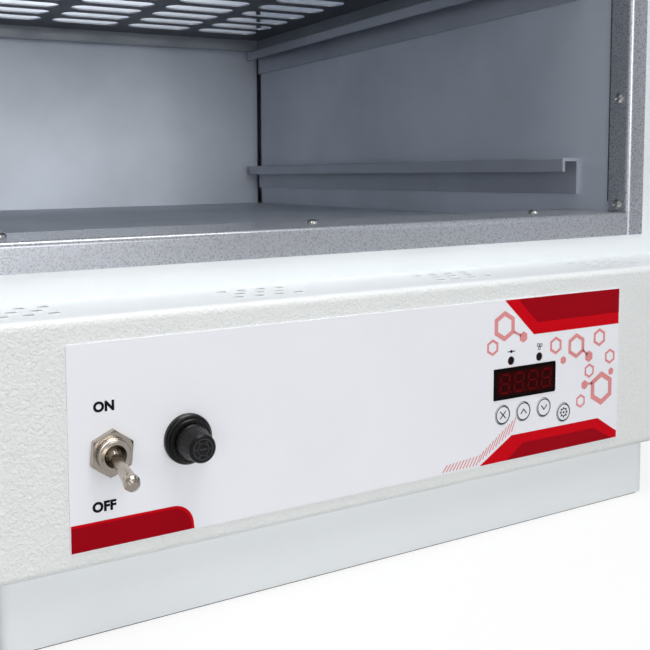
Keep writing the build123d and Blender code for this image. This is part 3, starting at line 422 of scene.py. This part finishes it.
def printed(name, ink, shapes, lift=PRINT_LIFT, body="cabinet"):
    """One flat piece of print; each shape is an outline, or an (outer, inner) pair of them."""
    build = bmesh.new()
    for shape in shapes:
        loops = shape if isinstance(shape, tuple) else (shape,)
        rings = [[build.verts.new(label_point(u, v, lift)) for u, v in loop] for loop in loops]
        if len(rings) == 1:
            build.faces.new(rings[0])
            continue
        outer, inner = rings
        for k in range(len(outer)):
            n = (k + 1) % len(outer)
            build.faces.new((outer[k], outer[n], inner[n], inner[k]))
    bmesh.ops.triangulate(build, faces=[f for f in build.faces if len(f.verts) > 4])
    bmesh.ops.recalc_face_normals(build, faces=build.faces[:])
    front = sum(face.normal.y * face.calc_area() for face in build.faces)
    if front > 0:
        bmesh.ops.reverse_faces(build, faces=build.faces[:])
    piece = linked(name, build, inks[ink])
    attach(piece, body)


def polygon(centre, radius, sides, turn=0.0):
    """Corners of a regular polygon, the first one at the angle turn."""
    angles = [turn + 2 * pi * k / sides for k in range(sides)]
    return [(centre[0] + radius * cos(angle), centre[1] + radius * sin(angle)) for angle in angles]


def circle(centre, radius, count=40):
    return polygon(centre, radius, count)


def stroke(start, end, width):
    """A straight line of ink."""
    along = Vector((end[0] - start[0], end[1] - start[1])).normalized() * width / 2
    side = (-along.y, along.x)
    return [
        (start[0] + side[0], start[1] + side[1]),
        (start[0] - side[0], start[1] - side[1]),
        (end[0] - side[0], end[1] - side[1]),
        (end[0] + side[0], end[1] + side[1]),
    ]


def corner_arc(centre, radius, first, last, count=12):
    """Points of an arc between two angles in degrees."""
    angles = [radians(first + (last - first) * k / count) for k in range(count + 1)]
    return [(centre[0] + radius * cos(angle), centre[1] + radius * sin(angle)) for angle in angles]


def word(name, text, centre, height):
    """Plain bold lettering, centred on a place on the label."""
    curve = bpy.data.curves.new(name, "FONT")
    curve.body = text
    curve.align_x = "CENTER"
    curve.align_y = "CENTER"
    curve.size = height * MM * 1.45
    curve.offset = 0.26 * MM
    curve.extrude = 0.0
    curve.space_character = 1.05
    curve.materials.append(inks["ink_black"])
    piece = bpy.data.objects.new(name, curve)
    piece.rotation_euler = (pi / 2, 0.0, 0.0)
    piece.location = label_point(*centre)
    bpy.context.collection.objects.link(piece)
    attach(piece, "cabinet")


def corner_bands():
    """Two-tone bands across the right-hand corners and one at the lower left."""
    top, right = LABEL_H - 0.3, LABEL_W - 0.3
    top_band = [(201, top), (219, top - 17), (right, top - 17), (right, top)]
    top_core = [(209, top), (221, top - 11.5), (right, top - 11.5), (right, top)]
    low_band = [(187, 0.3), (206, 11.5), (262, 11.5), (right, 3.5), (right, 0.3)]
    low_core = [(203, 0.3), (213, 7.0), (259, 7.0), (right - 3, 0.3)]
    bar = [(0.3, 0.3), (47.4, 0.3)] + corner_arc((39.0, 2.0), 8.2, 0, 90) + [(0.3, 10.2)]
    bar_core = [(0.3, 0.3), (45.9, 0.3)] + corner_arc((38.5, 1.5), 7.7, 0, 90) + [(0.3, 9.2)]
    printed("print_top_band", "ink_red", [top_band])
    printed("print_top_core", "ink_dark_red", [top_core], lift=2 * PRINT_LIFT)
    printed("print_low_band", "ink_red", [low_band])
    printed("print_low_core", "ink_dark_red", [low_core], lift=2 * PRINT_LIFT)
    printed("print_bar", "ink_red", [bar])
    printed("print_bar_core", "ink_dark_red", [bar_core], lift=2 * PRINT_LIFT)


def hexagon_motifs():
    """Pale hexagons of several sizes and a hatched strip beside the lower band."""
    outlines = [
        (201.0, 62.0, 6.2), (194.0, 53.0, 3.4), (233.0, 50.0, 3.8), (246.5, 48.5, 5.4), (262.0, 51.0, 4.0),
        (255.5, 35.5, 3.2), (264.0, 26.0, 7.4), (250.0, 21.5, 3.0), (269.5, 41.0, 3.4),
    ]
    solid = [
        (212.5, 56.0, 2.6), (238.0, 42.5, 2.0), (255.0, 42.5, 2.8), (252.5, 29.0, 2.3), (270.5, 33.5, 1.9),
    ]
    shapes = [
        (polygon((u, v), size * 1.12, 6, pi / 6), polygon((u, v), size * 0.74, 6, pi / 6))
        for u, v, size in outlines
    ]
    shapes += [polygon((u, v), size, 6, pi / 6) for u, v, size in solid]
    links = [((206.5, 59.0), (211.0, 56.8)), ((250.8, 46.0), (254.0, 43.6)), ((254.6, 29.2), (258.0, 29.2))]
    shapes += [stroke(start, end, 1.2) for start, end in links]
    printed("print_hexagons", "ink_pink", shapes)
    hatch = []
    for k in range(22):
        low = 166.0 + 1.9 * k
        foot = max(0.8, (low - 185.0) * 0.58 + 1.0)
        hatch.append(stroke((low, foot), (low + 2.6, foot + 3.0 + 0.16 * k), 0.55))
    printed("print_hatch", "ink_pink", hatch)


def figure(left, low):
    """Seven bars and a point of one leaning figure of the display."""

    def at(x, y):
        return (left + x + FIGURE_LEAN * y, low + y)

    middle, gap = FIGURE_H / 2, 0.6
    level = [((gap, y), (FIGURE_W - gap, y)) for y in (0.0, middle, FIGURE_H)]
    upright = [
        ((x, y + gap), (x, y + middle - gap))
        for y in (0.0, middle)
        for x in (0.0, FIGURE_W)
    ]
    bars = [stroke(at(*start), at(*end), 0.8) for start, end in level + upright]
    return bars + [circle(at(FIGURE_W + 1.2, 0.0), 0.45, 12)]


def display_print():
    """Black border and four unlit figures on the display window."""
    half_w, half_h = DISPLAY_SIZE[0] / 2, DISPLAY_SIZE[1] / 2
    face = 0.2 + PRINT_LIFT
    u, v = DISPLAY

    def frame_loop(inset):
        loop = []
        for sx, sy, first in ((1, 1, 0), (-1, 1, 90), (-1, -1, 180), (1, -1, 270)):
            centre = (u + sx * (half_w - 1.2), v + sy * (half_h - 1.2))
            loop += [
                (x - sx * inset, y - sy * inset)
                for x, y in corner_arc(centre, 1.1, first, first + 90, 4)
            ]
        return loop

    printed("display_border", "ink_window", [(frame_loop(0.0), frame_loop(1.6))], lift=face)
    bars = []
    for k in range(4):
        bars += figure(u + (k - 1.5) * FIGURE_PITCH - FIGURE_W / 2, v - FIGURE_H / 2)
    printed("display_figures", "ink_segment", bars, lift=face)


def key_print():
    """A ring and a sign on each key, which move with it."""
    face = 0.25 + PRINT_LIFT
    for number, (u, v) in enumerate(KEYS, start=1):
        shapes = [(circle((u, v), 4.1), circle((u, v), 3.65))]
        if number == 1:
            shapes += [stroke((u - 1.7, v - 1.7), (u + 1.7, v + 1.7), 0.5),
                       stroke((u - 1.7, v + 1.7), (u + 1.7, v - 1.7), 0.5)]
        elif number in (2, 3):
            rise = 1.1 if number == 2 else -1.1
            shapes += [stroke((u - 1.8, v - rise), (u + 0.1, v + rise), 0.5),
                       stroke((u + 1.8, v - rise), (u - 0.1, v + rise), 0.5)]
        else:
            shapes += [(circle((u, v), 1.9), circle((u, v), 1.5)), circle((u, v), 0.55, 16)]
            shapes += [
                stroke((u + 1.8 * cos(k * pi / 4), v + 1.8 * sin(k * pi / 4)),
                       (u + 2.5 * cos(k * pi / 4), v + 2.5 * sin(k * pi / 4)), 0.7)
                for k in range(8)
            ]
        printed(f"key_sign_{number}", "ink_black", shapes, lift=face, body=f"key_{number}")


def lamp_signs():
    """A heat sign and a fan sign over the two lamps."""
    (u, v), (fan_u, fan_v) = LAMPS
    shapes = [stroke((u - 2.2, v + 4.2), (u + 2.2, v + 4.2), 0.45), circle((u, v + 4.2), 0.75, 16)]
    centre = (fan_u, fan_v + 4.9)
    for k in range(3):
        angle = 2 * pi * k / 3 + 0.4
        hub = (centre[0] + 1.0 * cos(angle), centre[1] + 1.0 * sin(angle))
        shapes.append((circle(hub, 0.85, 16), circle(hub, 0.5, 16)))
    printed("lamp_signs", "ink_black", shapes)


def cap_marks():
    """Moulded rings and dots on the fuse cap's face, which turn with it; their grey is a painted highlight on
    the relief.
    """
    u, v = FUSE
    shapes = [(circle((u, v), 3.9), circle((u, v), 3.5)), (circle((u, v), 2.3), circle((u, v), 2.0))]
    shapes += [circle((u + 2.9 * cos(k * pi / 3), v + 2.9 * sin(k * pi / 3)), 0.35, 12) for k in range(6)]
    shapes.append(stroke((u - 1.5, v), (u + 1.5, v), 0.6))
    printed("cap_marks", "moulded_relief_highlight", shapes, lift=CAP_FACE + PRINT_LIFT, body="fuse_cap")


# Small forms of the cabinet, in millimetres

# Dark strips in the side seams of the mouth: painted shade for the shadowed gap between chamber side and
# frame.
SEAM_SHADOW_SIZE = (0.7, 1.1, 490.0)
SEAM_SHADOW_X = 193.2
SEAM_SHADOW_Y = -217.8
SEAM_SHADOW_Z = 393.0
VENT_CENTRES_X = (-153.5, -52.0, 49.5, 149.0)
VENT_ROWS = ((-1, 4), (0, 3), (1, 4))
VENT_PITCH = 9.1
VENT_ROW = 7.7
VENT_Y = -249.75
LEDGE_Z = 118.0
RIM_R = 2.2
RIM_LIP = 0.22
RIM_RISE = 0.28


def seam_shadow_strips():
    """Dark strips in the seams where the chamber's sides meet the uprights of the mouth frame: painted shade
    for the shadowed gap there.
    """
    for name, side in (("seam_shadow_left", -1), ("seam_shadow_right", 1)):
        build = bmesh.new()
        bmesh.ops.create_cube(build, size=1.0)
        bmesh.ops.scale(build, vec=Vector(SEAM_SHADOW_SIZE) * MM, verts=build.verts)
        bmesh.ops.translate(build, vec=Vector((side * SEAM_SHADOW_X, SEAM_SHADOW_Y, SEAM_SHADOW_Z)) * MM, verts=build.verts)
        # The dark rubber colour of these strips is painted shade.
        shadow_strip = linked(name, build, materials["black_rubber"])
        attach(shadow_strip, "cabinet")


def add_rim(build, x, y, around=24, section=6):
    """A flattened torus on the ledge, round one air hole."""
    rings = []
    for step in range(around):
        angle = 2 * pi * step / around
        ring = []
        for side in range(section):
            turn = 2 * pi * side / section
            reach = RIM_R + RIM_LIP * cos(turn)
            place = (x + reach * cos(angle), y + reach * sin(angle), LEDGE_Z + RIM_RISE * sin(turn))
            ring.append(build.verts.new(Vector(place) * MM))
        rings.append(ring)
    for step in range(around):
        near, far = rings[step], rings[(step + 1) % around]
        for side in range(section):
            other = (side + 1) % section
            build.faces.new((near[side], far[side], far[other], near[other]))


def vent_rims():
    """The slightly raised lip that punching leaves round each air hole in the ledge."""
    build = bmesh.new()
    for centre in VENT_CENTRES_X:
        for row, count in VENT_ROWS:
            for k in range(count):
                add_rim(build, centre + (k - (count - 1) / 2) * VENT_PITCH, VENT_Y + row * VENT_ROW)
    bmesh.ops.recalc_face_normals(build, faces=build.faces[:])
    for face in build.faces:
        face.smooth = True
    rims = linked("vent_rims", build, materials["white_paint"])
    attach(rims, "cabinet")


add_camera()
add_area("front_light", (0.1, -4.2, 0.7), (0.0, 0.0, 0.3), (2.2, 1.2), 50)
add_area("left_light", (-2.6, -3.2, 0.8), (0.2, -0.2, 0.3), (0.9, 1.6), 14)
add_area("top_light", (0.25, -0.6, 2.3), (0.1, -0.2, 0.1), (1.6, 1.0), 38)
add_area("chamber_light", (0.0, -0.01, 0.40), (0.0, 0.19, 0.39), (0.34, 0.05), 0.12, 50.0)
add_world(0.18, 0.45)
add_floor()

word("print_on", "ON", (13.2, 50.9), 3.3)
word("print_off", "OFF", (12.6, 15.1), 3.3)
corner_bands()
hexagon_motifs()
display_print()
key_print()
lamp_signs()
cap_marks()
seam_shadow_strips()
vent_rims()

bpy.context.scene.view_settings.view_transform = "Standard"
